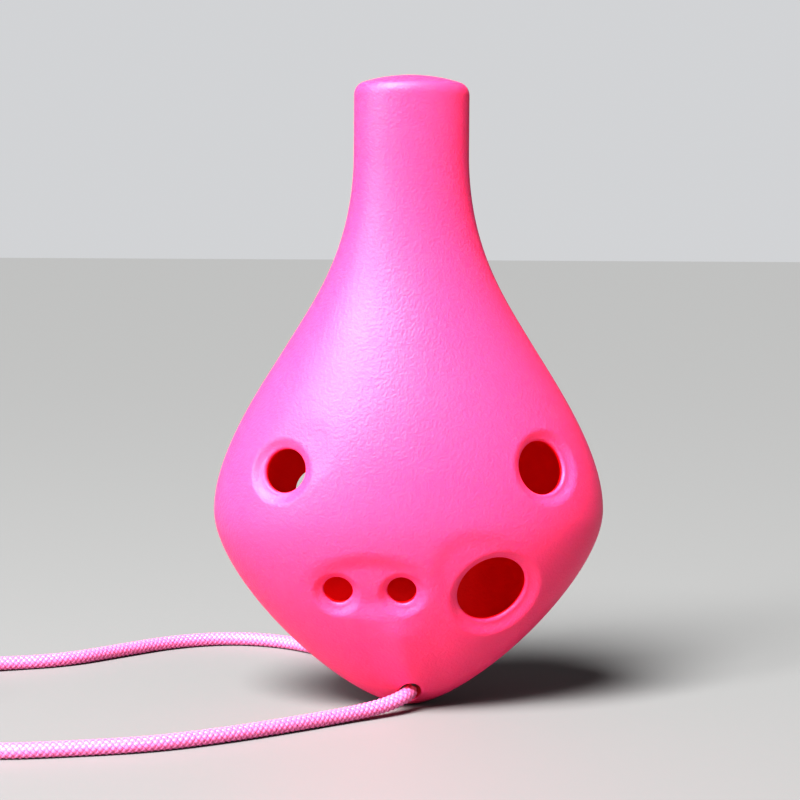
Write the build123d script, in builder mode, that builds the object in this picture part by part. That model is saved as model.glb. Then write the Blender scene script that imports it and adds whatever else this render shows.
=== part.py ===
"""An alto ocarina: two moulded shells, a two-piece windway insert and a neck cord.

It stands on its tip. X runs across the body, the finger holes face -Y, the thumb holes and
the window face +Y, and +Z runs up to the mouthpiece. The origin is under the tip.
"""
from build123d import *
from math import pi, radians, tan
import os

os.makedirs("parts", exist_ok=True)

# ---- body outline ----------------------------------------------------------------------
body_height = 112.0         # tip to mouthpiece
body_width = 69.4           # across the belly
body_depth = 40.2           # front to back at the belly
wall = 2.0
belly_height = 35.2         # height of the widest section
flare_height = 65.2         # where the side turns from bulging out to flaring in
flare_half = 21.4           # half width there
flare_lean = 31.5           # degrees between the side and upright there
neck_width = 20.3           # mouthpiece, side to side
neck_foot = 98.4            # where the straight mouthpiece begins to flare
mouth_rise = 1.8            # how far the mouth end is arched
mouth_corner = 2.4          # rounding of the mouth end
# Pull of the curves that join those points, as lengths along their tangents.
tip_pull = 10.9
belly_pull_down = 12.4
belly_pull_up = 10.5
flare_pull_down = 7.8
flare_pull_up = 9.1
neck_pull = 16.4

# ---- finger and thumb holes: x, z, diameter ------------------------------------------------
finger_holes = {
    "left_index": (-22.7, 43.9, 7.6),
    "right_index": (22.6, 44.4, 9.4),
    "left_small": (-13.5, 22.4, 5.1),
    "right_small": (-2.2, 22.6, 5.0),
    "right_large": (14.0, 22.4, 12.6),
}
thumb_holes = {
    "left_thumb": (-17.0, 37.0, 8.0),
    "right_thumb": (15.5, 37.0, 7.2),
}
dish_rim = 2.2              # width of the sunken rim round a hole
dish_depth = 0.9
dish_blend = 1.5            # rounding where the dish meets the skin

# ---- solid tip: strap hole, web and seam pegs ------------------------------------------------
strap_hole = 3.8
strap_height = 3.5          # height of the strap hole's axis
boss_top = 8.0              # the tip is solid up to here
web_top = 28.0              # top of the web that stiffens the tip
web_thickness = 1.4
web_depth = 4.5
peg = 2.2
peg_spacing = 12.0
peg_above_strap = 2.2       # height of the pegs over the strap hole's axis
peg_length = 2.4
peg_fit = 0.06

# ---- windway -------------------------------------------------------------------------------
window_top = 76.0           # lower end of the insert, where the air leaves it
window_length = 5.5
windway_width = 8.0
mouth_gap = 1.9             # height of the windway at the mouth
exit_gap = 1.2              # height of the windway at the window
roof_at_mouth = 1.9         # thickness of the windway roof
roof_at_exit = 2.2
labium_offset = 0.4         # the labium's edge stands this far outside the jet's middle
ramp_slope = 0.75           # rise of the labium ramp per mm of length
underside_slope = 0.55
ramp_length = 11.5
cheek = 1.5                 # side walls of the window
insert_fit = 0.05
key_height = 90.0           # rib of the front shell that holds the insert in the neck
key_width = 6.0
key_size = 2.4
key_depth = 1.0
key_root = 0.7              # how deep the rib is rooted in the neck's wall

# ---- neck cord -----------------------------------------------------------------------------
cord = 2.7                  # diameter
lay = cord / 2              # height of the cord's axis where it lies
coil_centre = (-101.0, -1.0)
coil_outer = 20.4
coil_inner = 8.6
coil_height = 5.6
tie_width = 3.0
tie_thickness = 0.5
tie_angle = 200.0           # where the tie goes round the coil
knot_length = 12.0
knot_width = 7.2
# The two strands, each from the middle of the strap hole to the coil, lying on the table.
front_route = [
    (0, 0, strap_height),
    (-0.4, -7.2, 3.2),
    (-4.6, -10.4, 2.0),
    (-11.6, -14.6, lay),
    (-20.8, -21.2, lay),
    (-31.4, -28.2, lay),
    (-43.6, -34.4, lay),
    (-56.2, -37.0, lay),
    (-68.0, -38.6, lay),
    (-79.5, -36.5, lay),
    (-89.0, -29.5, lay),
    (-98.5, -20.5, lay),
    (-108.0, -17.5, lay),
]
rear_route = [
    (0, 0, strap_height),
    (-0.3, 8.0, 3.2),
    (-3.4, 17.4, 1.9),
    (-8.0, 30.0, lay),
    (-13.4, 42.4, lay),
    (-21.4, 52.0, lay),
    (-32.4, 56.4, lay),
    (-44.4, 52.8, lay),
    (-54.8, 43.6, lay),
    (-64.6, 34.6, lay),
    (-77.4, 31.0, lay),
    (-89.6, 26.4, lay + 0.9),
    (-99.4, 18.4, lay + 2.2),
    (-107.5, 14.5, lay + 2.7),
]

half_width = body_width / 2
half_depth = body_depth / 2
neck_half = neck_width / 2
open_top = body_height + 20


def outline(inset, top):
    """The body's front view, drawn in by inset, with the mouth end at top."""
    lean = Vector(0, 1).rotate(Axis.Z, flare_lean)
    belly = Vector(half_width, belly_height)
    turn = Vector(flare_half, flare_height)
    foot = Vector(neck_half, neck_foot)
    up = Vector(0, 1)
    with BuildSketch() as face:
        with BuildLine():
            Bezier((0, 0), (tip_pull, 0), belly - up * belly_pull_down, belly)
            Bezier(belly, belly + up * belly_pull_up, turn - lean * flare_pull_down, turn)
            Bezier(turn, turn + lean * flare_pull_up, foot - up * neck_pull, foot)
            Line(foot, (neck_half, top - mouth_rise))
            mirror(about=Plane.YZ)
            ThreePointArc(
                (-neck_half, top - mouth_rise), (0, top), (neck_half, top - mouth_rise)
            )
        make_face()
        fillet(face.vertices().group_by(Axis.Y)[-1], mouth_corner)
        if inset:
            offset(amount=-inset, kind=Kind.INTERSECTION)
    return face.sketch


def flattened(inset, top):
    """Body of the outline drawn in by inset, flattened front to back by the same inset."""
    with BuildPart() as body:
        with BuildSketch(Plane.XZ):
            add(outline(inset, top))
            with Locations((half_width, top)):
                Rectangle(body_width, 4 * top, mode=Mode.INTERSECT)
        revolve(axis=Axis.Z)
        scale(by=(1, (half_depth - inset) / (half_width - inset), 1))
    return body.part


outer_skin = flattened(0, body_height)
inner_skin = flattened(wall, open_top)
mid_wall = flattened(wall / 2, open_top)
insert_skin = flattened(wall + insert_fit, open_top)


def skin_plane(skin, x, z, side):
    """Plane on a skin at (x, z), on its front (-1) or rear (+1), facing outwards."""
    hits = skin.find_intersection_points(Axis((x, 0, z), (0, side, 0)))
    point, normal = [hit for hit in hits if hit[0].Y * side > 0][-1]
    return Plane(origin=point, x_dir=(1, 0, 0), z_dir=normal)


def depth_at(skin, z):
    """Half depth of a skin at height z."""
    return skin_plane(skin, 0, z, 1).origin.Y


def sink_dishes(holes, side):
    """Sink a shallow round dish with a soft rim where each hole will come."""
    for x, z, bore in holes.values():
        plane = skin_plane(outer_skin, x, z, side)
        rim = bore / 2 + dish_rim
        ball = (rim**2 + dish_depth**2) / (2 * dish_depth)
        with Locations(plane.origin + plane.z_dir * (ball - dish_depth)):
            Sphere(ball, mode=Mode.SUBTRACT)
        fillet(husk.edges(Select.LAST), dish_blend)


def drill(holes, side):
    """Drill each hole square to the skin."""
    for x, z, bore in holes.values():
        with Locations(skin_plane(outer_skin, x, z, side).location):
            Cylinder(bore / 2, 6 * wall, mode=Mode.SUBTRACT)


def pegs(diameter, low, high, mode):
    """A peg or its socket on each side of the strap hole, from low to high along Y."""
    for x in (-peg_spacing / 2, peg_spacing / 2):
        with Locations(Location((x, (low + high) / 2, strap_height + peg_above_strap), (90, 0, 0))):
            Cylinder(diameter / 2, high - low, mode=mode)


# The hollow stops above the solid tip.
with BuildPart() as hollow:
    add(inner_skin)
    split(bisect_by=Plane.XY.offset(boss_top), keep=Keep.TOP)

# Both shells in one, before the seam parts them.
with BuildPart() as husk:
    add(outer_skin)
    sink_dishes(finger_holes, -1)
    sink_dishes(thumb_holes, 1)
    add(hollow.part, mode=Mode.SUBTRACT)
    with Locations(Location((0, 0, strap_height), (90, 0, 0))):
        Cylinder(strap_hole / 2, body_depth, mode=Mode.SUBTRACT)

# ---- front shell: finger holes, web, seam pegs and the rib that holds the insert -------------
key_inner = depth_at(inner_skin, key_height) - key_depth
key_outer = depth_at(inner_skin, key_height) + key_root

with BuildPart() as web:
    with BuildSketch(Plane.YZ):
        with BuildLine():
            Polyline(
                (-body_depth, boss_top - 1), (-web_depth / 2, boss_top - 1),
                (web_depth - depth_at(inner_skin, web_top), web_top),
                (-body_depth, web_top), close=True,
            )
        make_face()
    extrude(amount=web_thickness / 2, both=True)
    add(mid_wall, mode=Mode.INTERSECT)

with BuildPart() as front_shell:
    add(husk.part)
    split(bisect_by=Plane.XZ, keep=Keep.TOP)
    drill(finger_holes, -1)
    add(web.part)
    pegs(peg, -peg_length, peg_length, Mode.ADD)
    with Locations((0, -(key_inner + key_outer) / 2, key_height)):
        Box(key_width, key_outer - key_inner, key_size)

# ---- windway insert: a grooved block and the slip that roofs the groove ----------------------
roof_exit = depth_at(inner_skin, window_top) - roof_at_exit
roof_mouth = depth_at(inner_skin, body_height) - roof_at_mouth
floor_exit = roof_exit - exit_gap
floor_mouth = roof_mouth - mouth_gap
windway_length = body_height - window_top
roof_run = (roof_mouth - roof_exit) / windway_length
floor_run = (floor_mouth - floor_exit) / windway_length
parting = Plane(origin=(0, roof_exit, window_top), x_dir=(1, 0, 0), z_dir=(0, 1, -roof_run))

with BuildPart() as insert_blank:
    add(insert_skin)
    split(bisect_by=Plane.XY.offset(window_top), keep=Keep.TOP)
    add(outer_skin, mode=Mode.INTERSECT)

with BuildPart() as windway_block:
    add(insert_blank.part)
    split(bisect_by=parting, keep=Keep.BOTTOM)
    with BuildSketch(Plane.YZ):
        with BuildLine():
            Polyline(
                (floor_exit - floor_run, window_top - 1),
                (floor_mouth + floor_run, body_height + 1),
                (half_depth, body_height + 1), (half_depth, window_top - 1), close=True,
            )
        make_face()
    extrude(amount=windway_width / 2, both=True, mode=Mode.SUBTRACT)
    with Locations((0, -(key_inner - insert_fit + half_depth) / 2, key_height)):
        Box(
            key_width + 2 * insert_fit, half_depth - key_inner + insert_fit,
            key_size + 2 * insert_fit, mode=Mode.SUBTRACT,
        )

with BuildPart() as windway_roof:
    add(insert_blank.part)
    split(bisect_by=parting, keep=Keep.TOP)

# ---- rear shell: thumb holes, window, labium and peg sockets ---------------------------------
labium_height = window_top - window_length
jet_run = (roof_run + floor_run) / 2
labium_depth = (roof_exit + floor_exit) / 2 - jet_run * window_length + labium_offset
ramp_foot = labium_height - ramp_length

with BuildPart() as window_frame:
    with BuildSketch(Plane.YZ):
        with BuildLine():
            Polyline(
                (floor_exit, window_top), (labium_depth, labium_height),
                (labium_depth + underside_slope * ramp_length, ramp_foot),
                (body_depth, ramp_foot), (body_depth, window_top), close=True,
            )
        make_face()
    extrude(amount=windway_width / 2 + cheek, both=True)
    add(mid_wall, mode=Mode.INTERSECT)

with BuildPart() as rear_shell:
    add(husk.part)
    split(bisect_by=Plane.XZ, keep=Keep.BOTTOM)
    drill(thumb_holes, 1)
    add(window_frame.part)
    with BuildSketch(Plane.YZ):
        with BuildLine():
            Polyline(
                (floor_exit - 1, window_top), (floor_exit - 1, labium_height),
                (labium_depth, labium_height),
                (labium_depth + 1.4 * ramp_slope * ramp_length, labium_height - 1.4 * ramp_length),
                (body_depth, labium_height - 1.4 * ramp_length), (body_depth, window_top),
                close=True,
            )
        make_face()
    extrude(amount=windway_width / 2, both=True, mode=Mode.SUBTRACT)
    pegs(peg + 2 * peg_fit, -peg_fit, peg_length + peg_fit, Mode.SUBTRACT)

# ---- neck cord: two strands from one strap hole, put away in one coil ------------------------
def strand(route):
    """Tube along a route: straight runs joined by arcs as large as the runs allow."""
    points = [Vector(*point) for point in route]
    runs = [b - a for a, b in zip(points, points[1:])]
    radii = []
    for before, after in zip(runs, runs[1:]):
        turn = radians(before.get_angle(after))
        radii.append(0.45 * min(before.length, after.length) / tan(turn / 2))
    with BuildPart() as tube:
        with BuildLine():
            path = FilletPolyline(*points, radius=radii)
        with BuildSketch(Plane(origin=path @ 0, z_dir=path % 0)):
            Circle(cord / 2)
        sweep(path=path)
    section = pi * (cord / 2) ** 2
    print("arc radii", [round(radius, 1) for radius in radii])
    print("length", round(path.length, 1), "volume / section", round(tube.part.volume / section, 1))
    return tube.part


coil_place = Location((*coil_centre, 0))
tie_place = Location((*coil_centre, 0), (0, 0, tie_angle))
coil_width = coil_outer - coil_inner
coil_middle = (coil_outer + coil_inner) / 2
lift = (Align.CENTER, Align.CENTER, Align.MIN)

with BuildPart() as cord_tie:
    with Locations(tie_place * Pos(coil_middle, 0, 0)):
        Box(coil_width + 2 * tie_thickness, tie_width, coil_height + tie_thickness, align=lift)
        with Locations((0, 0, tie_thickness)):
            Box(
                coil_width, 2 * tie_width, coil_height - tie_thickness, align=lift,
                mode=Mode.SUBTRACT,
            )

with BuildPart() as neck_cord_coil:
    with Locations(coil_place):
        Cylinder(coil_outer, coil_height, align=lift)
        Cylinder(coil_inner, coil_height, align=lift, mode=Mode.SUBTRACT)
    add(cord_tie.part, mode=Mode.SUBTRACT)

with BuildPart() as neck_cord_front:
    add(strand(front_route))
    add(neck_cord_coil.part, mode=Mode.SUBTRACT)

with BuildPart() as neck_cord_rear:
    add(strand(rear_route))
    add(neck_cord_coil.part, mode=Mode.SUBTRACT)

with BuildPart() as cord_knot:
    with Locations(coil_place * Pos(coil_inner - knot_length / 2 + 1, 0, knot_width / 2)):
        Cylinder(knot_width / 2, knot_length, rotation=(0, 90, 0))
    fillet(cord_knot.edges().filter_by(GeomType.CIRCLE), knot_width / 3)
    add(neck_cord_coil.part, mode=Mode.SUBTRACT)

nodes = {
    "front_shell": front_shell,
    "rear_shell": rear_shell,
    "windway_block": windway_block,
    "windway_roof": windway_roof,
    "neck_cord_front": neck_cord_front,
    "neck_cord_rear": neck_cord_rear,
    "neck_cord_coil": neck_cord_coil,
    "cord_tie": cord_tie,
    "cord_knot": cord_knot,
}
for name, builder in nodes.items():
    builder.part.label = name
    export_step(builder.part, f"parts/{name}.step")
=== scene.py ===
from math import atan2, cos, pi, radians, sin, sqrt

import bpy
import numpy as np
from mathutils import Matrix, Vector
from mathutils.geometry import delaunay_2d_cdt


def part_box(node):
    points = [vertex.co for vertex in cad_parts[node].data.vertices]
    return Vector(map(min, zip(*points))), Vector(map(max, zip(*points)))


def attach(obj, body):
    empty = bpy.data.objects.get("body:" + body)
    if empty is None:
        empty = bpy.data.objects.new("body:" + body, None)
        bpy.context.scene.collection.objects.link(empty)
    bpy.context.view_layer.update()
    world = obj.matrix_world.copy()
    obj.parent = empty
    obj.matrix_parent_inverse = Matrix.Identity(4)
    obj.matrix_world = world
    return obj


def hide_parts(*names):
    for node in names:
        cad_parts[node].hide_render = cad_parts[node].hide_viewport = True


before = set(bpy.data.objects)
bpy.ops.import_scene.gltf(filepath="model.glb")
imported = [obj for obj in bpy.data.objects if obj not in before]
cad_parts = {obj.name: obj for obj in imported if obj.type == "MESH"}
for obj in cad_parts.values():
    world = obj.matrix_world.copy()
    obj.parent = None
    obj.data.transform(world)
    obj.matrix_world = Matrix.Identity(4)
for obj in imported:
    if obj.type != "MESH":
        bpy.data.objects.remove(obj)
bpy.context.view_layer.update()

# ---- front shell -----------------------------------------------------------------------------
# The half with the finger holes, injection moulded in hot pink plastic with a fine satin spark
# finish. Each hole sits in a softly sunk dish, and the two small ones share an oval one. It is
# welded to the rear shell along the seam, which leaves a hairline groove round the body.

MM = 0.001                  # metres in a millimetre, the unit of every length below
FRONT, REAR = -1, 1         # the way that each half faces along Y
WALL = 2.0
HALF_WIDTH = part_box("front_shell")[1].x / MM
HALF_DEPTH = -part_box("front_shell")[0].y / MM
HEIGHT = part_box("windway_block")[1].z / MM

# The side as x and z: the belly, the turn from bulging out to flaring in, and the neck's foot.
BELLY = np.array([HALF_WIDTH, 35.2])
TURN = np.array([21.4, 65.2])
FOOT = np.array([10.15, 98.4])
UP = np.array([0.0, 1.0])
LEAN = np.array([-sin(radians(31.5)), cos(radians(31.5))])   # the side's direction at the turn
TIP_PULL = 10.9             # how far the curves run along their tangents at each of those points
BELLY_PULL = (12.4, 10.5)   # below and above it
TURN_PULL = (7.8, 9.1)
FOOT_PULL = 16.4
MOUTH_RISE = 1.8            # how far the mouth end is arched
MOUTH_CORNER = 2.4          # rounding of the arch's ends
BOSS_TOP = 8.0              # the tip is solid up to here
SQUASH_OUT = HALF_DEPTH / HALF_WIDTH
SQUASH_IN = (HALF_DEPTH - WALL) / (HALF_WIDTH - WALL)
LIP = 0.55                  # rounding of the holes' edges
SEAM_WIDTH = 0.35
SEAM_DEPTH = 0.12
KEEL_HEIGHT = 0.95          # soft ridge over the strap hole
KEEL_REACH = 6.5            # half its width
KEEL_ROUND = 0.9            # rounding of its crest

# Spacing of the mesh: how finely each stretch is cut, and the rings of points round the holes.
SEGMENTS = 72               # round each hole
FLOOR_CUTS, SIDE_CUTS, MOUTH_CUTS = 60, 109, 96
ROW, COLUMN = 0.62, 0.7     # between points on the outside
INNER_ROW, INNER_COLUMN = 1.4, 1.5
DISH_RINGS = (0.15, 0.35, 0.6, 0.85, 1.1, 1.4, 1.7, 2.05, 2.4, 2.8)
STRAP_RINGS = (0.2, 0.45, 0.8)
SEAM_LINES = (0.07, 0.16, 0.26, 0.37)
RING_GAP = 0.3              # kept clear between the last ring and the rows

# Holes as x, z, radius, width and depth of the dish round them, and the dish's shift in x and z.
FINGER_HOLES = [
    (-22.7, 43.9, 3.80, 2.5, 0.80, -0.4, -0.3),
    (22.6, 44.4, 4.70, 2.5, 0.80, 0.5, -0.2),
    (-13.5, 22.4, 2.55, 2.1, 0.70, 0.0, -0.3),
    (-2.2, 22.6, 2.50, 2.1, 0.70, 0.0, -0.3),
    (14.0, 22.4, 6.30, 2.7, 0.85, 0.4, -0.4),
]
# Wider shallow hollows as x, z, half width, half height, tilt in degrees, depth, run-out.
HOLLOWS = [
    (-7.8, 24.0, 12.8, 7.0, 0.0, 0.90, 4.6),
    (-19.9, 46.4, 8.6, 6.2, 45.0, 0.26, 4.4),
    (12.0, 24.8, 11.6, 9.6, -40.0, 0.40, 4.4),
]
STRAP = (0.0, 3.5, 1.9)      # the strap hole, along Y, as x, z and radius


def unit(v):
    return v / np.linalg.norm(v, axis=-1, keepdims=True)


def ease(t):
    """Runs smoothly from 0 to 1."""
    t = np.clip(t, 0, 1)
    return t**3 * (t * (6 * t - 15) + 10)


def bezier(a, b, c, d, count):
    """Points along one cubic curve, without its first."""
    t = np.linspace(0, 1, count + 1)[1:, None]
    a, b, c, d = (np.array(p, float) for p in (a, b, c, d))
    return a * (1 - t)**3 + 3 * b * t * (1 - t)**2 + 3 * c * t * t * (1 - t) + d * t**3


def profile(line, inset):
    """Distance up one side, half width and height there, and the way the skin faces."""
    ahead = np.gradient(line, axis=0)
    facing = unit(np.stack([ahead[:, 1], -ahead[:, 0]], -1))
    line = line - inset * facing
    run = np.concatenate([[0], np.linalg.norm(np.diff(line, axis=0), axis=1).cumsum()])
    even = np.linspace(0, run[-1], int(run[-1] / 0.05))
    return np.stack([even] + [np.interp(even, run, col) for col in (*line.T, *facing.T)])


side = np.vstack([
    [(0, 0)],
    bezier((0, 0), (TIP_PULL, 0), BELLY - BELLY_PULL[0] * UP, BELLY, 1600),
    bezier(BELLY, BELLY + BELLY_PULL[1] * UP, TURN - TURN_PULL[0] * LEAN, TURN, 1100),
    bezier(TURN, TURN + TURN_PULL[1] * LEAN, FOOT - FOOT_PULL * UP, FOOT, 1100),
])
arch = (FOOT[0]**2 + MOUTH_RISE**2) / (2 * MOUTH_RISE)
arch_foot = HEIGHT - arch
corner_x = FOOT[0] - MOUTH_CORNER
corner_z = arch_foot + sqrt((arch - MOUTH_CORNER)**2 - corner_x**2)
corner_end = atan2(corner_z - arch_foot, corner_x)
turn = np.linspace(0, corner_end, 120)[:, None]
crown = np.linspace(corner_end, pi / 2, 200)[1:, None]
straight = np.linspace(FOOT[1], corner_z, 340)[1:-1, None]
mouth = np.vstack([
    np.hstack([straight * 0 + FOOT[0], straight]),
    np.hstack([corner_x + MOUTH_CORNER * np.cos(turn), corner_z + MOUTH_CORNER * np.sin(turn)]),
    np.hstack([arch * np.cos(crown), arch_foot + arch * np.sin(crown)]),
])
open_neck = np.linspace(FOOT[1], HEIGHT + 8, 600)[1:, None]
OUTER = profile(np.vstack([side, mouth]), 0)
INNER = profile(np.vstack([side, np.hstack([open_neck * 0 + FOOT[0], open_neck])]), WALL)


def plain(skin, squash, way, u, s):
    """Points and outward normals of a plain skin, at angle u round it and s up it."""
    r, z, nr, nz = (np.interp(s, skin[0], row) for row in skin[1:])
    point = np.stack([r * np.sin(u), way * squash * r * np.cos(u), z], -1)
    return point, unit(np.stack([nr * np.sin(u), way * nr * np.cos(u) / squash, nz], -1))


def inner_skin(way):
    return lambda u, s: plain(INNER, SQUASH_IN, way, u, s)


def place(way, x, z):
    """Angle and distance at which the outer skin passes through x and z."""
    below = OUTER[2] <= corner_z
    s = np.interp(z, OUTER[2][below], OUTER[0][below])
    return np.arcsin(x / np.interp(s, OUTER[0], OUTER[1])), s


def hole_frame(way, x, z):
    """Centre, axis and two directions across a hole bored square to the skin."""
    u, s = place(way, x, z)
    centre, axis = plain(OUTER, SQUASH_OUT, way, u, s)
    across = unit(np.array([1.0, 0, 0]) - axis[0] * axis)
    return centre, axis, across, np.cross(axis, across)


def keel(points):
    """The soft ridge that runs from under the small holes down to the strap hole."""
    x, z = points[..., 0], points[..., 2]
    crest = x + 2.8 - 0.26 * (17 - z)
    flank = np.clip(1 - np.sqrt(crest**2 + KEEL_ROUND**2) / KEEL_REACH, 0, 1)
    return KEEL_HEIGHT * flank**1.5 * ease((20 - z) / 6) * ease((z - 1.5) / 3)


def outer_skin(way, holes, hollows, ridge):
    """The outer skin with its dishes, hollows and seam groove, as a function of u and s."""
    frames = [hole_frame(way, x + dx, z + dz)[:2] for x, z, _, _, _, dx, dz in holes]

    def sunk(p):
        total = SEAM_DEPTH * np.clip(1 - np.abs(p[..., 1]) / SEAM_WIDTH, 0, 1)**2
        for (centre, axis), (_, _, radius, rim, depth, _, _) in zip(frames, holes):
            off = p - centre
            along = (off @ axis)[..., None]
            reach = np.linalg.norm(off - along * axis, axis=-1)
            near = (along[..., 0] > -8)
            total = total + near * depth * ease((radius + rim - reach) / rim)
        for x, z, wide, tall, tilt, depth, runout in hollows:
            dx, dz = p[..., 0] - x, p[..., 2] - z
            c, s = cos(radians(tilt)), sin(radians(tilt))
            reach = np.hypot((dx * c + dz * s) / wide, (dz * c - dx * s) / tall)
            total = total + depth * ease((1 - reach) * min(wide, tall) / runout)
        return total - keel(p) if ridge else total

    def skin(u, s):
        point, normal = plain(OUTER, SQUASH_OUT, way, u, s)
        depth = sunk(point)
        steps = np.eye(3) * 0.02
        slope = np.stack([(sunk(point + e) - sunk(point - e)) / 0.04 for e in steps], -1)
        slope = slope - (slope * normal).sum(-1, keepdims=True) * normal
        return point - depth[..., None] * normal, unit(normal + slope)

    return skin


def find(skin, centre, across, up, target, u, s):
    """Angles and distances at which a skin passes over targets in a hole's plane."""
    u, s = u + target[:, 0] * 0, s + target[:, 0] * 0
    for _ in range(12):
        p = skin(u, s)[0]
        miss = np.stack([(p - centre) @ across, (p - centre) @ up], -1) - target
        pu = (skin(u + 1e-4, s)[0] - p) / 1e-4
        ps = (skin(u, s + 1e-3)[0] - p) / 1e-3
        a, b, c, d = pu @ across, ps @ across, pu @ up, ps @ up
        det = a * d - b * c
        u = u - np.clip((d * miss[:, 0] - b * miss[:, 1]) / det, -0.3, 0.3)
        s = s - np.clip((a * miss[:, 1] - c * miss[:, 0]) / det, -3, 3)
    return u, s


def triangles(flat, loops):
    """Triangles inside the first of some loops of flat points, clear of the other loops."""
    edges = []
    owner = np.full(len(flat), -1)
    for number, loop in enumerate(loops):
        edges += list(zip(loop, np.roll(loop, -1)))
        if number:
            owner[loop] = number
    edges = [(int(a), int(b)) for a, b in edges]
    out = delaunay_2d_cdt([Vector(p) for p in flat], edges, [], 1, 1e-7)
    first = [ids[0] if ids else -1 for ids in out[3]]
    faces = np.array([[first[i] for i in face] for face in out[2] if len(face) == 3])
    faces = faces[(faces >= 0).all(1)]
    rings = owner[faces]
    return faces[~((rings[:, 0] > 0) & (rings[:, 0] == rings[:, 1]) & (rings[:, 1] == rings[:, 2]))]


class Shape:
    """A mesh put together from patches, each with its own normals, joined where they meet."""

    def __init__(self):
        self.points, self.faces, self.normals, self.inside, self.count = [], [], [], [], 0

    def add(self, points, normals, faces, inside=False):
        """Adds a patch, turning its faces the way its normals point. Inside patches take the second
        material, the painted red glow.
        """
        points, normals = np.asarray(points, float), np.asarray(normals, float)
        faces = np.asarray(faces)
        corner = points[faces]
        way = np.cross(corner[:, 1] - corner[:, 0], corner[:, 2] - corner[:, 0])
        wrong = (way * normals[faces].mean(1)).sum(1) < 0
        faces = faces.copy()
        faces[wrong] = faces[wrong][:, ::-1]
        self.points.append(points)
        self.faces += [[int(i) + self.count for i in face] for face in faces]
        self.normals.append(normals[faces.ravel()])
        self.inside += [inside] * len(faces)
        self.count += len(points)

    def flat(self, points, normal, faces):
        self.add(points, np.tile(normal, (len(points), 1)), faces)

    def grid(self, points, normals, inside=False):
        """Adds rows of points, each row a ring."""
        rows, cols = points.shape[:2]
        i, j = np.meshgrid(np.arange(rows - 1), np.arange(cols), indexing="ij")
        k = (j + 1) % cols
        faces = np.stack([i * cols + j, i * cols + k, (i + 1) * cols + k, (i + 1) * cols + j], -1)
        self.add(points.reshape(-1, 3), normals.reshape(-1, 3), faces.reshape(-1, 4), inside)

    def build(self, name, *materials):
        points = np.vstack(self.points) * MM
        keys = np.round(points / (0.002 * MM)).astype(np.int64)
        _, first, index = np.unique(keys, axis=0, return_index=True, return_inverse=True)
        index = index.ravel()
        normals = np.vstack(self.normals)
        faces, keep, kinds, at = [], [], [], 0
        for face, inside in zip(self.faces, self.inside):
            joined = [int(index[i]) for i in face]
            if len(set(joined)) == len(joined):
                faces.append(joined)
                kinds.append(int(inside))
                keep += range(at, at + len(face))
            at += len(face)
        mesh = bpy.data.meshes.new(name)
        mesh.from_pydata(points[first].tolist(), [], faces)
        mesh.polygons.foreach_set("use_smooth", [True] * len(mesh.polygons))
        mesh.normals_split_custom_set(normals[keep].tolist())
        # Inside faces take the second material, a redder copy with a faint glow: painted light.
        mesh.polygons.foreach_set("material_index", kinds)
        return show(name, mesh, *materials)


def show(name, mesh, *materials):
    """Puts a mesh in the scene as a piece of the given materials."""
    for material in materials:
        mesh.materials.append(material)
    piece = bpy.data.objects.new(name, mesh)
    bpy.context.scene.collection.objects.link(piece)
    return piece


def ring(radius):
    angle = np.arange(SEGMENTS) * 2 * pi / SEGMENTS
    return radius * np.stack([np.cos(angle), np.sin(angle)], -1)


def bore(shape, skin, frame_of, radius, start, inner_ends):
    """Rounds a hole's edge and lines it through the wall. Returns the loop round its edge."""
    centre, axis, across, up = frame_of
    u, s = find(skin, centre, across, up, ring(radius + LIP), *start)
    edge, facing = skin(u, s)
    out = ring(1) @ np.stack([across, up])
    height = ((edge - centre) @ axis)[:, None]
    end = centre + radius * out + (height - LIP) * axis
    inward = unit(-out + (out * facing).sum(-1, keepdims=True) * facing)
    t = np.linspace(0, 1, 8)[:, None, None]
    pull = 0.5523 * LIP
    a, b, c, d = edge, edge + inward * pull, end + axis * pull, end
    lip = a * (1 - t)**3 + 3 * b * t * (1 - t)**2 + 3 * c * t * t * (1 - t) + d * t**3
    ahead = 3 * ((b - a) * (1 - t)**2 + 2 * (c - b) * t * (1 - t) + (d - c) * t * t)
    around = np.roll(lip, -1, 1) - np.roll(lip, 1, 1)
    normals = unit(np.cross(ahead, around))
    normals = normals * np.sign((normals[0] * facing).sum(-1))[None, :, None]
    normals[0] = facing
    t = np.linspace(0, 1, 6)[:, None, None]
    wall = end * (1 - t) + inner_ends * t
    shape.grid(lip, normals)
    # The bore's wall takes the painted red glow.
    shape.grid(wall, np.tile(-out, (6, 1, 1)), inside=True)
    return u, s


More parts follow.
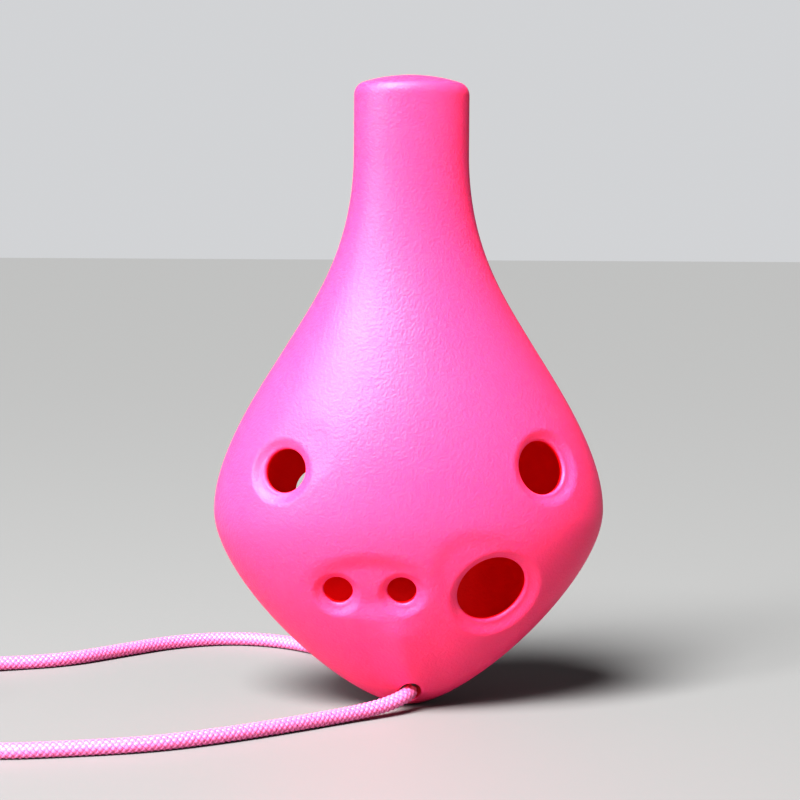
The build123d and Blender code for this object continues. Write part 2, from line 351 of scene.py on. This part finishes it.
def shell(way, holes, hollows, ridge):
    """One half of the body: skins, holes, mouth rim, floor over the tip and seam face."""
    shape = Shape()
    outer = outer_skin(way, holes, hollows, ridge)
    inner = inner_skin(way)

    # Where the neck's inner wall meets the arched mouth end.
    t = np.linspace(-pi / 2, pi / 2, MOUTH_CUTS + 1)
    neck_in = FOOT[0] - WALL
    x, y = neck_in * np.sin(t), SQUASH_IN * neck_in * np.cos(t) / SQUASH_OUT
    top = OUTER[2] > corner_z
    rim_s = np.interp(np.hypot(x, y), OUTER[1][top][::-1], OUTER[0][top][::-1])
    rim = np.stack([np.arctan2(x, y), rim_s], -1)
    rim_points = outer(*rim.T)[0]

    seam_s = np.linspace(0, rim_s[0], int(rim_s[0] / 0.6))
    left = np.stack([seam_s * 0 - pi / 2, seam_s], -1)[1:-1]
    right = left * (-1, 1)
    border = np.vstack([[(0, 0)], right, rim[::-1], left[::-1]])

    # Holes through the wall, and rings of points that follow their dishes.
    outer_loops, inner_loops, extra, done = [], [], [], []
    for x, z, radius, *_ in holes:
        frame_of = hole_frame(way, x, z)
        centre, axis, across, up = frame_of
        start = place(way, x, z)
        guess = np.interp(z, INNER[2], INNER[0])
        iu, js = find(inner, centre, across, up, ring(radius), start[0], guess)
        inner_loops.append(np.stack([iu, js], -1))
        outer_loops.append(np.stack(
            bore(shape, outer, frame_of, radius, start, inner(iu, js)[0]), -1))
        for step in DISH_RINGS:
            more = ring(radius + LIP + step)
            extra.append((len(done), np.stack(
                find(outer, centre, across, up, more, *start), -1)))
        done.append((centre, axis, radius))
    centre, normal = plain(OUTER, SQUASH_OUT, way, *place(way, STRAP[0], STRAP[1]))
    strap_frame = (centre, np.array([0.0, way, 0]), np.array([1.0, 0, 0]), np.array([0, 0, 1.0]))
    strap_ring = ring(STRAP[2])
    strap_ends = np.stack(
        [strap_ring[:, 0], strap_ring[:, 0] * 0, STRAP[1] + strap_ring[:, 1]], -1)
    start = place(way, STRAP[0], STRAP[1])
    outer_loops.append(np.stack(
        bore(shape, outer, strap_frame, STRAP[2], start, strap_ends), -1))
    for step in STRAP_RINGS:
        more = find(outer, *[strap_frame[i] for i in (0, 2, 3)], ring(STRAP[2] + LIP + step), *start)
        extra.append((len(done), np.stack(more, -1)))
    done.append((centre, strap_frame[1], STRAP[2]))

    def gaps(p):
        """Distance of points from the edge of each hole."""
        away = []
        for centre, axis, radius in done:
            off = p - centre
            along = (off @ axis)[:, None]
            far = np.where(along[:, 0] < -9, 99, 0)
            away.append(np.linalg.norm(off - along * axis, axis=1) - radius + far)
        return np.stack(away)

    kept = []
    for number, points in extra:
        away = gaps(plain(OUTER, SQUASH_OUT, way, *points.T)[0])
        others = np.delete(away, number, 0).min(0)
        kept.append(points[others > away[number] + 0.2])
    rows = np.arange(COLUMN, OUTER[0][-1], ROW)
    for number, s in enumerate(rows):
        width = np.interp(s, OUTER[0], OUTER[1])
        if OUTER[2][np.searchsorted(OUTER[0], s)] > corner_z and width < neck_in:
            break
        limit = pi / 2 - ROW / max(width, COLUMN)
        if limit <= 0:
            continue
        count = max(1, int(2 * limit * width / COLUMN))
        u = np.linspace(-limit, limit, count) + (number % 2) * limit / count
        u = u[np.abs(u) <= limit]
        kept.append(np.stack([u, u * 0 + s], -1))
    kept_rows = np.vstack(kept[len(extra):])
    away = gaps(plain(OUTER, SQUASH_OUT, way, *kept_rows.T)[0])
    clear = away[:-1].min(0) > LIP + DISH_RINGS[-1] + RING_GAP
    clear &= away[-1] > LIP + STRAP_RINGS[-1] + RING_GAP
    rim_at = np.interp(kept_rows[:, 0], rim[:, 0], rim[:, 1])
    kept_rows = kept_rows[clear & (kept_rows[:, 1] < rim_at - 0.4)]
    edges = []
    for gap in SEAM_LINES:
        s = seam_s[(np.interp(seam_s, OUTER[0], OUTER[1]) > 2)][:-1]
        u = pi / 2 - gap / (SQUASH_OUT * np.interp(s, OUTER[0], OUTER[1]))
        edges += [np.stack([u, s], -1), np.stack([-u, s], -1)]
    points = np.vstack([border, *outer_loops, *kept[:len(extra)], kept_rows, *edges])
    loops, at = [], 0
    for loop in (border, *outer_loops):
        loops.append(np.arange(at, at + len(loop)))
        at += len(loop)
    width = np.interp(points[:, 1], OUTER[0], OUTER[1]) + 1e-6
    faces = triangles(np.stack([width * points[:, 0], points[:, 1]], -1), loops)
    where, facing = outer(*points.T)
    shape.add(where, facing, faces)
    seam_out = where[loops[0]]

    # Inside: from the flat floor over the solid tip up to the mouth.
    floor_s = np.interp(BOSS_TOP, INNER[2], INNER[0])
    top_s = np.interp(rim_points[:, 2], INNER[2], INNER[0])
    up_side = np.linspace(floor_s, top_s[0], SIDE_CUTS + 1)
    left = np.stack([up_side * 0 - pi / 2, up_side], -1)
    right = left * (-1, 1)
    floor_u = np.linspace(-pi / 2, pi / 2, FLOOR_CUTS + 1)
    floor_row = np.stack([floor_u, floor_u * 0 + floor_s], -1)
    border = np.vstack([floor_row[:-1], right[:-1], np.stack([t, top_s], -1)[::-1][:-1],
                        left[::-1][:-1]])
    kept = []
    for s in np.arange(floor_s + 1.2, top_s.max() - 1, INNER_ROW):
        width = np.interp(s, INNER[0], INNER[1])
        limit = pi / 2 - 1.2 / width
        u = np.linspace(-limit, limit, max(2, int(2 * limit * width / INNER_COLUMN)))
        kept.append(np.stack([u, u * 0 + s], -1))
    kept = np.vstack(kept)
    kept = kept[gaps(inner(*kept.T)[0])[:-1].min(0) > 0.9]
    kept = kept[kept[:, 1] < np.interp(kept[:, 0], t, top_s) - 0.8]
    points = np.vstack([border, *inner_loops, kept])
    loops, at = [], 0
    for loop in (border, *inner_loops):
        loops.append(np.arange(at, at + len(loop)))
        at += len(loop)
    width = np.interp(points[:, 1], INNER[0], INNER[1])
    faces = triangles(np.stack([width * points[:, 0], points[:, 1]], -1), loops)
    where, facing = inner(*points.T)
    mouth_at = FLOOR_CUTS + SIDE_CUTS
    where[mouth_at:mouth_at + MOUTH_CUTS] = rim_points[::-1][:-1]
    # The inner skin takes the painted red glow.
    shape.add(where, -facing, faces, inside=True)
    seam_in = where[loops[0]]

    fan = np.vstack([[(0, 0, BOSS_TOP)], seam_in[:FLOOR_CUTS + 1]])
    shape.flat(fan, (0, 0, 1), [(0, i, i + 1) for i in range(1, FLOOR_CUTS + 1)])

    # The seam face, with the strap hole through the solid tip.
    tip = len(seam_s) - 2
    chain_right, chain_left = seam_out[:tip + 2], seam_out[-(tip + 1):]
    inside_right = seam_in[FLOOR_CUTS:mouth_at + 1]
    inside_left = np.vstack([seam_in[mouth_at + MOUTH_CUTS:], seam_in[:1]])
    loop = np.vstack([chain_right, inside_right[::-1][1:], [(0, 0, BOSS_TOP)], inside_left[::-1],
                      chain_left])
    loop = loop[np.concatenate([[True], np.linalg.norm(np.diff(loop, axis=0), axis=1) > 0.01])]
    flat = np.vstack([loop, strap_ends])
    loops = [np.arange(len(loop)), np.arange(len(loop), len(flat))]
    shape.flat(flat, (0, -way, 0), triangles(flat[:, [0, 2]], loops))
    return shape


# The plastic: a strong pink, and a redder copy with a faint glow for the inner faces, which paints
# the light that bounces about inside the body.
def group(name, ins, outs):
    """A node group with the given inputs and outputs."""
    tree = bpy.data.node_groups.new(name, "ShaderNodeTree")
    for way, sockets in (("INPUT", ins), ("OUTPUT", outs)):
        for label, kind in sockets:
            tree.interface.new_socket(label, in_out=way, socket_type=kind)
    return tree, tree.nodes.new("NodeGroupInput"), tree.nodes.new("NodeGroupOutput")


def node(tree, kind, **values):
    """A shader node with the given settings."""
    made = tree.nodes.new(kind)
    for name, value in values.items():
        setattr(made, name, value)
    return made


def noise(tree, vector, scale, detail, roughness=0.5):
    """A noise texture with the given number of bumps to a metre."""
    made = node(tree, "ShaderNodeTexNoise")
    made.inputs["Scale"].default_value = scale
    made.inputs["Detail"].default_value = detail
    made.inputs["Roughness"].default_value = roughness
    tree.links.new(vector, made.inputs["Vector"])
    return made


spark, _, spark_out = group(
    "Spark finish", [], [("Height", "NodeSocketFloat"), ("Roughness", "NodeSocketFloat")])
spot = node(spark, "ShaderNodeTexCoord")
grain = noise(spark, spot.outputs["Object"], 1900.0, 3.0, 0.6)
broad = noise(spark, spot.outputs["Object"], 60.0, 3.0)
spread = node(spark, "ShaderNodeMapRange")
spread.inputs["From Min"].default_value = 0.3
spread.inputs["From Max"].default_value = 0.7
spread.inputs["To Min"].default_value = 0.36
spread.inputs["To Max"].default_value = 0.46
spark.links.new(broad.outputs["Fac"], spread.inputs["Value"])
spark.links.new(grain.outputs["Fac"], spark_out.inputs["Height"])
spark.links.new(spread.outputs["Result"], spark_out.inputs["Roughness"])


def moulded(name, colour, grain_depth=0.00011, strength=1.0, through=2.6):
    """A satin plastic of the given colour, lit a little from within."""
    material = bpy.data.materials.new(name)
    material.use_nodes = True
    tree = material.node_tree
    shader = tree.nodes["Principled BSDF"]
    shader.inputs["Base Color"].default_value = (*colour, 1)
    shader.inputs["Subsurface Weight"].default_value = 0.45
    shader.inputs["Subsurface Radius"].default_value = (1.0, 0.06, 0.16)
    shader.inputs["Subsurface Scale"].default_value = through * MM
    shader.inputs["Specular IOR Level"].default_value = 0.32
    finish = node(tree, "ShaderNodeGroup", node_tree=spark)
    bump = node(tree, "ShaderNodeBump")
    bump.inputs["Strength"].default_value = strength
    bump.inputs["Distance"].default_value = grain_depth
    tree.links.new(finish.outputs["Height"], bump.inputs["Height"])
    tree.links.new(bump.outputs["Normal"], shader.inputs["Normal"])
    tree.links.new(finish.outputs["Roughness"], shader.inputs["Roughness"])
    return material


plastic = moulded("Hot pink plastic", (0.94, 0.068, 0.205))
# Painted light: a redder copy of the plastic with a faint emission, for the inner skin and the
# bores, stands in for light coming through the thin wall.
painted_glow = moulded("Painted glow inside the plastic", (0.98, 0.008, 0.016), through=5.0)
painted_glow_shader = painted_glow.node_tree.nodes["Principled BSDF"]
painted_glow_shader.inputs["Emission Color"].default_value = (1.0, 0.004, 0.006, 1)
painted_glow_shader.inputs["Emission Strength"].default_value = 0.022

front = shell(FRONT, FINGER_HOLES, HOLLOWS, True).build("Front_shell", plastic, painted_glow)
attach(front, "root")
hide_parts("front_shell")

# ---- rear shell ------------------------------------------------------------------------------
# The other half, with the two thumb holes and the window and sloping labium that sound the
# note. It is moulded in the same plastic. Its smooth skin is shaded as truly curved.

ON_SKIN = 0.06              # a point this near a plain skin lies on it
NEAR_INSIDE = 0.15          # a face's middle this near the inner skin belongs to the hollow, which takes the painted red glow
HOLLOW_TOP = 60.0

def nearest(skin, squash, points):
    """Points and outward normals of a plain rear skin next to the given points."""
    radius = np.hypot(points[:, 0], points[:, 1] / squash)
    line = skin[1:3].T[::2]
    best = np.concatenate([
        np.argmin((radius[i:i + 500, None] - line[:, 0])**2
                  + (points[i:i + 500, 2, None] - line[:, 1])**2, axis=1)
        for i in range(0, len(points), 500)])
    return plain(skin, squash, REAR, np.arctan2(points[:, 0], points[:, 1] / squash),
                 skin[0][::2][best])


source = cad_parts["rear_shell"]
mesh = source.data.copy()
mesh.materials.clear()
spots = np.array([source.matrix_world @ v.co for v in mesh.vertices]) / MM
corners = np.array([loop.vertex_index for loop in mesh.loops])
normals = np.array([n.vector for n in mesh.corner_normals])
facets = np.array([p.normal for p in mesh.polygons])
owner = np.repeat(np.arange(len(facets)), [p.loop_total for p in mesh.polygons])
for skin, squash, way in ((OUTER, SQUASH_OUT, 1), (INNER, SQUASH_IN, -1)):
    where, facing = nearest(skin, squash, spots)
    on_it = np.linalg.norm(where - spots, axis=1) < ON_SKIN
    facing = way * facing[corners]
    smooth = on_it[corners] & ((facing * facets[owner]).sum(1) > 0.9)
    normals[smooth] = facing[smooth]
middles = np.array([source.matrix_world @ p.center for p in mesh.polygons]) / MM
where = nearest(INNER, SQUASH_IN, middles)[0]
# Faces of the hollow below HOLLOW_TOP take the second material, the painted red glow.
painted_glow_faces = (np.linalg.norm(middles - where, axis=1) < NEAR_INSIDE) & (middles[:, 2] < HOLLOW_TOP)
mesh.polygons.foreach_set("material_index", painted_glow_faces.astype(int))
mesh.polygons.foreach_set("use_smooth", [True] * len(mesh.polygons))
mesh.normals_split_custom_set(normals.tolist())
rear = show("Rear_shell", mesh, plastic, painted_glow)
rear.matrix_world = source.matrix_world
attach(rear, "root")
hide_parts("rear_shell")

# ---- windway insert --------------------------------------------------------------------------
# A grooved block and the slip that roofs the groove, pushed into the neck from the mouth end to
# make the windway. Both are moulded in the same plastic.

for name in ("windway_block", "windway_roof"):
    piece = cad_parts[name]
    piece.data.materials.clear()
    piece.data.materials.append(plastic)

# ---- neck cord -------------------------------------------------------------------------------
# A braided nylon cord, passed through the strap hole, its ends knotted together. The two
# strands lie on the table and the rest is put away in a flat double coil.

CORD = 2.7
LAY = CORD / 2              # height of a strand that lies on the table
UPPER = LAY + CORD          # and of one that lies on another
COIL = (-101.0, -1.0)
COIL_RADIUS = 18.9          # of its outer turn
TURN_STEP = 2.8             # from one turn to the next
STRANDS = 6                 # each way round the braid
BRAID_ROW, BRAID_COLUMNS = 0.22, 36
LAY_LENGTH = 1.05           # along the cord from one crossing to the next
RELIEF = 0.27               # depth of the gaps between strands
FRONT_ROUTE = [
    (0, -5.5, 3.5), (-0.4, -7.2, 3.2), (-4.6, -10.4, 2.0), (-11.6, -14.6, LAY),
    (-20.8, -21.2, LAY), (-31.4, -28.2, LAY), (-43.6, -34.4, LAY), (-56.2, -37.0, LAY),
    (-68.0, -38.6, LAY), (-79.5, -36.5, LAY), (-89.0, -29.5, LAY), (-97.0, -21.0, LAY),
]
REAR_ROUTE = [
    (0, 5.5, 3.5), (-0.3, 8.0, 3.2), (-3.4, 17.4, 1.9), (-8.0, 30.0, LAY),
    (-13.4, 42.4, LAY), (-21.4, 52.0, LAY), (-32.4, 56.4, LAY), (-44.4, 52.8, LAY),
    (-54.8, 43.6, LAY), (-64.6, 34.6, LAY), (-77.4, 31.0, LAY), (-89.6, 26.4, LAY + 0.9),
    (-98.0, 19.4, LAY + 2.2),
]


def spiral(start, way, height):
    """Points of a flat coil that winds inwards, sixteen to a turn."""
    points = []
    for i in range(53):
        angle = radians(start + way * i * 22.5)
        radius = COIL_RADIUS - TURN_STEP * i / 16
        points.append((COIL[0] + radius * cos(angle), COIL[1] + radius * sin(angle), height))
    return points


def followed(name, points):
    """Points close together along a smooth cord laid through a route."""
    curve = bpy.data.curves.new(name, "CURVE")
    curve.dimensions = "3D"
    curve.resolution_u = 24
    spline = curve.splines.new("NURBS")
    spline.points.add(len(points) - 1)
    for control, point in zip(spline.points, points):
        control.co = (*(c * MM for c in point), 1)
    spline.order_u = 3
    spline.use_endpoint_u = True
    holder = bpy.data.objects.new(name, curve)
    bpy.context.scene.collection.objects.link(holder)
    bpy.context.view_layer.update()
    mesh = bpy.data.meshes.new_from_object(holder)
    line = np.array([v.co for v in mesh.vertices]) / MM
    bpy.data.objects.remove(holder)
    run = np.concatenate([[0], np.linalg.norm(np.diff(line, axis=0), axis=1).cumsum()])
    even = np.linspace(0, run[-1], int(run[-1] / BRAID_ROW))
    return np.stack([np.interp(even, run, c) for c in line.T], -1), even


def braid(name, line, run, material, closed=False):
    """A round braid along a line: two sets of strands that pass over and under each other."""
    ahead = np.gradient(line, axis=0)
    if closed:
        ahead = np.roll(line, -1, 0) - np.roll(line, 1, 0)
    ahead = unit(ahead)
    sideways = np.zeros_like(line)
    current = unit(np.cross(ahead[0], (0, 0.1, 1.0)))
    for i, a in enumerate(ahead):
        current = unit(current - a * (current @ a))
        sideways[i] = current
    other = np.cross(ahead, sideways)
    cols = BRAID_COLUMNS
    angle = np.arange(cols) * 2 * pi / cols
    turn = angle / (2 * pi) * STRANDS
    pitch = run / LAY_LENGTH
    a = turn[None, :] + pitch[:, None]
    b = turn[None, :] - pitch[:, None]
    fa, fb = a % 1, b % 1
    over = (np.floor(a) + np.floor(b)) % 2 < 0.5
    across, along = np.where(over, fa, fb), np.where(over, fb, fa)
    relief = np.sin(pi * across)**0.6 * (0.45 + 0.55 * np.sin(pi * along)**0.7)
    radius = LAY - RELIEF + RELIEF * relief
    points = (line[:, None] + radius[..., None] * (
        np.cos(angle)[None, :, None] * sideways[:, None]
        + np.sin(angle)[None, :, None] * other[:, None]))
    rows = len(line)
    i, j = np.meshgrid(np.arange(rows - 1), np.arange(cols), indexing="ij")
    k = (j + 1) % cols
    faces = np.stack([i * cols + j, i * cols + k, (i + 1) * cols + k, (i + 1) * cols + j], -1)
    uvs = np.stack([                       # strands round the cord and crossings along it
        np.stack([j, j + 1, j + 1, j], -1) / cols * STRANDS,
        np.stack([pitch[i], pitch[i], pitch[i + 1], pitch[i + 1]], -1)], -1)
    faces = faces.reshape(-1, 4).tolist()
    points = points.reshape(-1, 3)
    flat = list(range(cols))
    faces += [flat[::-1], [(rows - 1) * cols + c for c in flat]]
    mesh = bpy.data.meshes.new(name)
    mesh.from_pydata((points * MM).tolist(), [], faces)
    mesh.polygons.foreach_set("use_smooth", [True] * len(mesh.polygons))
    layer = mesh.uv_layers.new(name="Braid")
    values = np.concatenate([uvs.reshape(-1), np.zeros(4 * cols)])
    layer.data.foreach_set("uv", values.astype(np.float32))
    mesh.update()
    return show(name, mesh, material)


# Fibres run along whichever strand is on top, and the gaps between strands are painted darker as
# shade.
fibres, fibres_in, fibres_out = group(
    "Braid fibres", [("UV", "NodeSocketVector")],
    [("Height", "NodeSocketFloat"), ("Colour", "NodeSocketColor")])


def sums(operation, *values):
    """The result of one sum in the braid's node group, on numbers or other nodes' outputs."""
    made = node(fibres, "ShaderNodeMath", operation=operation)
    for socket, value in zip(made.inputs, values):
        if isinstance(value, (int, float)):
            socket.default_value = value
        else:
            fibres.links.new(value, socket)
    return made.outputs[0]


split = node(fibres, "ShaderNodeSeparateXYZ")
fibres.links.new(fibres_in.outputs["UV"], split.inputs[0])
one = sums("ADD", split.outputs["X"], split.outputs["Y"])
two = sums("SUBTRACT", split.outputs["X"], split.outputs["Y"])
parity = sums("ADD", sums("FLOOR", one), sums("FLOOR", two))
under = sums("LESS_THAN", 0.25, sums("FRACT", sums("MULTIPLY", parity, 0.5)))
over_one = sums("MULTIPLY", sums("FRACT", one), sums("SUBTRACT", 1.0, under))
across = sums("ADD", sums("MULTIPLY", sums("FRACT", two), under), over_one)
thread = sums("SINE", sums("MULTIPLY", across, 2 * pi * 5))
# The darker gap colour is painted shade where the strands dip under each other.
gap = sums("SUBTRACT", 1.0, sums("SINE", sums("MULTIPLY", across, pi)))
painted_gap_shade = node(fibres, "ShaderNodeMix", data_type="RGBA")
painted_gap_shade.inputs["A"].default_value = (0.86, 0.23, 0.47, 1)
painted_gap_shade.inputs["B"].default_value = (0.62, 0.02, 0.13, 1)
fibres.links.new(sums("POWER", gap, 2.2), painted_gap_shade.inputs["Factor"])
fibres.links.new(thread, fibres_out.inputs["Height"])
fibres.links.new(painted_gap_shade.outputs["Result"], fibres_out.inputs["Colour"])

nylon = bpy.data.materials.new("Pink braided nylon")
nylon.use_nodes = True
tree = nylon.node_tree
shader = tree.nodes["Principled BSDF"]
shader.inputs["Roughness"].default_value = 0.34
shader.inputs["Sheen Weight"].default_value = 0.35
shader.inputs["Sheen Roughness"].default_value = 0.3
shader.inputs["Subsurface Weight"].default_value = 0.2
shader.inputs["Subsurface Radius"].default_value = (1.0, 0.3, 0.5)
shader.inputs["Subsurface Scale"].default_value = 0.5 * MM
uv = node(tree, "ShaderNodeUVMap", uv_map="Braid")
weave = node(tree, "ShaderNodeGroup", node_tree=fibres)
tree.links.new(uv.outputs["UV"], weave.inputs["UV"])
tree.links.new(weave.outputs["Colour"], shader.inputs["Base Color"])
bump = node(tree, "ShaderNodeBump")
bump.inputs["Strength"].default_value = 0.5
bump.inputs["Distance"].default_value = 0.00003
tree.links.new(weave.outputs["Height"], bump.inputs["Height"])
tree.links.new(bump.outputs["Normal"], shader.inputs["Normal"])

front_line, front_run = followed("Front strand line", FRONT_ROUTE + spiral(-95, -1, LAY) + [
    (-109.6, 4.6, 1.6), (-105.6, 5.0, 2.4), (-103.0, 1.6, 3.2), (-101.2, -0.6, 3.4)])
rear_line, rear_run = followed("Rear strand line", REAR_ROUTE + spiral(95, 1, UPPER) + [
    (-109.6, -6.6, 4.0), (-105.6, -7.0, 3.9), (-103.0, -3.4, 3.6), (-101.2, -1.4, 3.4)])
strand_front = braid("Neck_cord_front_strand", front_line, front_run, nylon)
strand_rear = braid("Neck_cord_rear_strand", rear_line, rear_run, nylon)

# ---- knot and tie ----------------------------------------------------------------------------
# The overhand knot that joins the cord's two ends in the middle of the coil, and a strip of
# soft white vinyl wrapped once round the coil, which keeps it together.

KNOT = (-98.6, -1.0, 3.4)   # its middle
KNOT_SIZE, KNOT_RISE = 0.92, 1.55
TIE_TURN = radians(200)     # where the tie goes round the coil
INSIDE, OUTSIDE, TIE_HEIGHT, TIE_WIDE, TIE_THICK = 8.5, 19.95, 5.85, 3.0, 0.45
BEND, BEND_CUTS = 1.4, 8    # outer radius of the strip's four bends

t = np.linspace(0, 2 * pi, 260)
loop = np.stack([KNOT[0] + KNOT_SIZE * (np.sin(t) + 2 * np.sin(2 * t)),
                 KNOT[1] + KNOT_SIZE * (np.cos(t) - 2 * np.cos(2 * t)),
                 KNOT[2] - KNOT_RISE * np.sin(3 * t)], -1)
loop_run = np.concatenate([[0], np.linalg.norm(np.diff(loop, axis=0), axis=1).cumsum()])
knot = braid("Overhand_knot", loop, loop_run, nylon, closed=True)

# The strip's way round the coil as bend centres and outward directions, then its section.
near, far, high, low = INSIDE + BEND, OUTSIDE - BEND, TIE_HEIGHT - BEND, 0.02 + BEND
rounded = []
for cx, cz, begin in ((far, high, 0), (near, high, 90), (near, low, 180), (far, low, 270)):
    for i in range(BEND_CUTS + 1):
        turn = radians(begin + i * 90 / BEND_CUTS)
        rounded.append((cx, cz, cos(turn), sin(turn)))
rounded = np.array(rounded)
aside = np.array([-sin(TIE_TURN), cos(TIE_TURN), 0])
tie_shape = Shape()
section = [(-1.0, 0.0), (-1.0, 0.55), (-0.8, 0.9), (0.0, 1.0), (0.8, 0.9), (1.0, 0.55),
           (1.0, 0.0)]
rows, facings = [], []
for across, thick in section:
    reach = BEND - TIE_THICK + TIE_THICK * thick
    r = rounded[:, 0] + reach * rounded[:, 2]
    z = rounded[:, 1] + reach * rounded[:, 3]
    w = across * TIE_WIDE / 2
    rows.append(np.stack([COIL[0] + r * cos(TIE_TURN), COIL[1] + r * sin(TIE_TURN), z], -1)
                + w * aside)
    out = np.stack([rounded[:, 2] * cos(TIE_TURN), rounded[:, 2] * sin(TIE_TURN),
                    rounded[:, 3]], -1)
    facings.append(unit(out * max(0.15, 1 - abs(across)**3) + aside * across**3))
tie_shape.grid(np.array(rows), np.array(facings))
tie_shape.grid(np.array([rows[0], rows[-1]]), np.array([-out, -out]))
tie_vinyl = moulded("Soft white vinyl", (0.50, 0.49, 0.48), 0.00005, 0.3)
tie = tie_shape.build("Coil_tie", tie_vinyl)

for piece, replaced in ((strand_front, ("neck_cord_front", "neck_cord_coil")),
                        (strand_rear, ("neck_cord_rear",)), (knot, ("cord_knot",)),
                        (tie, ("cord_tie",))):
    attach(piece, "root")
    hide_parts(*replaced)

# ---- floor, light and camera -----------------------------------------------------------------
# A pale floor that runs back to the horizon, a broad soft light high on the left, a strip light
# lower down on the same side that draws the highlights, and an even pale surround.

floor_mesh = bpy.data.meshes.new("Floor")
floor_mesh.from_pydata([(-6, -6, 0), (6, -6, 0), (6, 6, 0), (-6, 6, 0)], [], [(0, 1, 2, 3)])
floor = bpy.data.objects.new("Floor", floor_mesh)
bpy.context.scene.collection.objects.link(floor)
paper = bpy.data.materials.new("Pale paper")
paper.use_nodes = True
shader = paper.node_tree.nodes["Principled BSDF"]
shader.inputs["Base Color"].default_value = (0.22, 0.22, 0.218, 1)
shader.inputs["Roughness"].default_value = 0.6
floor_mesh.materials.append(paper)

world = bpy.data.worlds.new("Studio")
world.use_nodes = True
tree = world.node_tree
surround = tree.nodes["Background"]
surround.inputs["Color"].default_value = (0.97, 0.98, 1.0, 1)
path = node(tree, "ShaderNodeLightPath")
shown = node(tree, "ShaderNodeMapRange")
shown.inputs["To Min"].default_value = 0.14
shown.inputs["To Max"].default_value = 0.50
tree.links.new(path.outputs["Is Camera Ray"], shown.inputs["Value"])
tree.links.new(shown.outputs["Result"], surround.inputs["Strength"])
bpy.context.scene.world = world


def lamp(name, kind, power, place_at, **values):
    """A lamp that shines at the body from the place or direction given, in metres."""
    light = bpy.data.lights.new(name, kind)
    light.energy = power
    for label, value in values.items():
        setattr(light, label, value)
    made = bpy.data.objects.new(name, light)
    made.location = place_at
    toward = Vector((0, 0, 0.06)) - made.location
    made.rotation_euler = toward.to_track_quat("-Z", "Y").to_euler()
    bpy.context.scene.collection.objects.link(made)


lamp("Key light", "SUN", 7.4, (-0.32, -0.52, 0.86), angle=radians(30))
lamp("Strip light", "AREA", 2.4, (-0.36, -0.32, 0.26), shape="RECTANGLE", size=0.08, size_y=0.4)

camera_data = bpy.data.cameras.new("Camera")
camera_data.lens = 96.2
camera_data.sensor_width = 36
camera_data.shift_x = -0.0125
camera = bpy.data.objects.new("Camera", camera_data)
camera.location = (-0.0231, -0.3781, 0.0846)
aim = Vector((0, 0, 0.05475)) - camera.location
camera.rotation_euler = (aim.to_track_quat("-Z", "Y").to_matrix()
                         @ Matrix.Rotation(radians(0.36), 3, "Z")).to_euler()
bpy.context.scene.collection.objects.link(camera)
bpy.context.scene.camera = camera
bpy.context.scene.view_settings.view_transform = "Standard"
bpy.context.scene.view_settings.look = "High Contrast"
